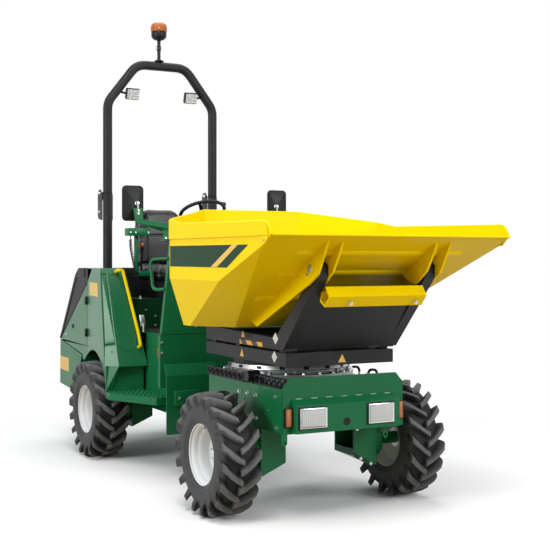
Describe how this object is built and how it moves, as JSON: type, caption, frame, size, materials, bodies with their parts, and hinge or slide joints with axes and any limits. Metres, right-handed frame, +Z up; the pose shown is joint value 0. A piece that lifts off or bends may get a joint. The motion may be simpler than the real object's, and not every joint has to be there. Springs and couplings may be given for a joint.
{
  "type": "site dumper",
  "caption": "Articulated electric site dumper whose tapered skip tips forwards and swivels on a turntable, with a folding roll bar over an open seat.",
  "frame": {"origin": "middle of the footprint on the ground", "axes": "+X forwards (the skip's end), +Y to the machine's left, +Z up"},
  "size_m": [3.946, 1.5, 3.349],
  "materials": {
    "green": "gloss paint",
    "darkGreen": "satin paint",
    "yellow": "gloss paint",
    "black": "satin paint",
    "plastic": "textured",
    "steel": "machined",
    "rim": "satin paint",
    "tyre": "rubber",
    "vinyl": "grained vinyl",
    "amber": "clear amber",
    "lens": "clear"
  },
  "bodies": {
    "rear_unit": {"rear_frame": "green", "battery_block": "black", "counterweight": "green", "side_panel_right": "green", "side_panel_left": "green", "rear_hood": "plastic", "operator_platform": "green", "seat_base": "darkGreen", "seat_pan": "plastic", "seat_cushion": "vinyl", "seat_backrest": "vinyl", "dash_tower": "green", "steering_column": "plastic", "console": "green", "curly_cable": "plastic", "stone_guard_right": "green", "stone_guard_left": "green", "rops_posts": "black", "mirror_right": "plastic", "mirror_left": "plastic", "grab_rail_right": "yellow", "grab_rail_left": "yellow", "side_marker_right": "amber", "side_marker_left": "amber"},
    "wheel_rear_right": {"tyre_rear_right": "tyre", "rim_rear_right": "rim"},
    "wheel_rear_left": {"tyre_rear_left": "tyre", "rim_rear_left": "rim"},
    "door_right": {"door_right": "green"},
    "door_left": {"door_left": "green"},
    "handwheel": {"steering_wheel": "plastic"},
    "roll_bar": {"rops_bow": "black", "beacon": "amber", "work_light_right": "lens", "work_light_left": "lens"},
    "knuckle": {"centre_knuckle": "black"},
    "steering_barrel": {"steering_cylinder_barrel": "black"},
    "steering_rod": {"steering_cylinder_rod": "steel"},
    "front_unit": {"front_frame": "green", "light_bar": "green", "headlight_right": "lens", "headlight_left": "lens", "indicator_right": "amber", "indicator_left": "amber", "slew_ring": "steel", "slew_motor": "black", "cable_chain": "plastic"},
    "wheel_front_right": {"tyre_front_right": "tyre", "rim_front_right": "rim"},
    "wheel_front_left": {"tyre_front_left": "tyre", "rim_front_left": "rim"},
    "carriage": {"carriage_frame": "black", "skip_cradle": "black", "guard_beam": "yellow"},
    "tip_barrel": {"tip_cylinder_barrel": "black"},
    "tip_rod": {"tip_cylinder_rod": "steel"},
    "skip": {"skip": "yellow"}
  },
  "joints": [
    {"name": "articulation", "type": "hinge", "parent": "rear_unit", "child": "knuckle", "pos_m": [0.201, 0, 0.43], "axis": [0, 0, 1], "range_deg": [-30, 30]},
    {"name": "oscillation", "type": "hinge", "parent": "knuckle", "child": "front_unit", "pos_m": [0.351, 0, 0.43], "axis": [1, 0, 0], "range_deg": [-10, 10]},
    {"name": "skip_swivel", "type": "hinge", "parent": "front_unit", "child": "carriage", "pos_m": [0.761, 0, 0.79], "axis": [0, 0, -1], "range_deg": [-90, 90]},
    {"name": "skip_tip", "type": "hinge", "parent": "carriage", "child": "skip", "pos_m": [1.743, 0, 1.418], "axis": [0, 1, 0], "range_deg": [0, 60]},
    {"name": "tip_cylinder_tilt", "type": "hinge", "parent": "carriage", "child": "tip_barrel", "pos_m": [1.453, 0, 1.095], "axis": [0, 1, 0], "range_deg": [0, 71.1]},
    {"name": "tip_cylinder_slide", "type": "slide", "parent": "tip_barrel", "child": "tip_rod", "axis": [-0.9807, 0, -0.1954], "range_m": [0, 0.416]},
    {"name": "steering_cylinder_yaw", "type": "hinge", "parent": "rear_unit", "child": "steering_barrel", "pos_m": [-0.359, 0.126, 0.41], "axis": [0, 0, 1], "range_deg": [-6, 6]},
    {"name": "steering_cylinder_slide", "type": "slide", "parent": "steering_barrel", "child": "steering_rod", "axis": [0.9973, 0.0739, 0], "range_m": [-0.12, 0.12]},
    {"name": "handwheel_turn", "type": "hinge", "parent": "rear_unit", "child": "handwheel", "pos_m": [-0.543, 0, 1.811], "axis": [-0.4384, 0, 0.8988], "range_deg": [-540, 540]},
    {"name": "roll_bar_fold", "type": "hinge", "parent": "rear_unit", "child": "roll_bar", "pos_m": [-1.401, 0, 1.98], "axis": [0, -1, 0], "range_deg": [0, 110]},
    {"name": "door_right_hinge", "type": "hinge", "parent": "rear_unit", "child": "door_right", "pos_m": [-1.261, -0.649, 1], "axis": [0, 0, 1], "range_deg": [0, 100]},
    {"name": "door_left_hinge", "type": "hinge", "parent": "rear_unit", "child": "door_left", "pos_m": [-1.261, 0.649, 1], "axis": [0, 0, -1], "range_deg": [0, 100]},
    {"name": "wheel_front_right_spin", "type": "hinge", "parent": "front_unit", "child": "wheel_front_right", "pos_m": [1.051, -0.621, 0.355], "axis": [0, 1, 0], "continuous": true},
    {"name": "wheel_front_left_spin", "type": "hinge", "parent": "front_unit", "child": "wheel_front_left", "pos_m": [1.051, 0.621, 0.355], "axis": [0, 1, 0], "continuous": true},
    {"name": "wheel_rear_right_spin", "type": "hinge", "parent": "rear_unit", "child": "wheel_rear_right", "pos_m": [-1.057, -0.621, 0.355], "axis": [0, 1, 0], "continuous": true},
    {"name": "wheel_rear_left_spin", "type": "hinge", "parent": "rear_unit", "child": "wheel_rear_left", "pos_m": [-1.057, 0.621, 0.355], "axis": [0, 1, 0], "continuous": true}
  ],
  "couplings": [
    {"joint": "tip_cylinder_tilt", "follows": "skip_tip", "ratio": 1.1679},
    {"joint": "tip_cylinder_slide", "follows": "skip_tip", "m_per_rad": 0.3954},
    {"joint": "steering_cylinder_yaw", "follows": "articulation", "ratio": 0.1789},
    {"joint": "steering_cylinder_slide", "follows": "articulation", "m_per_rad": -0.1628},
    {"joint": "handwheel_turn", "follows": "articulation", "ratio": 17.5}
  ]
}
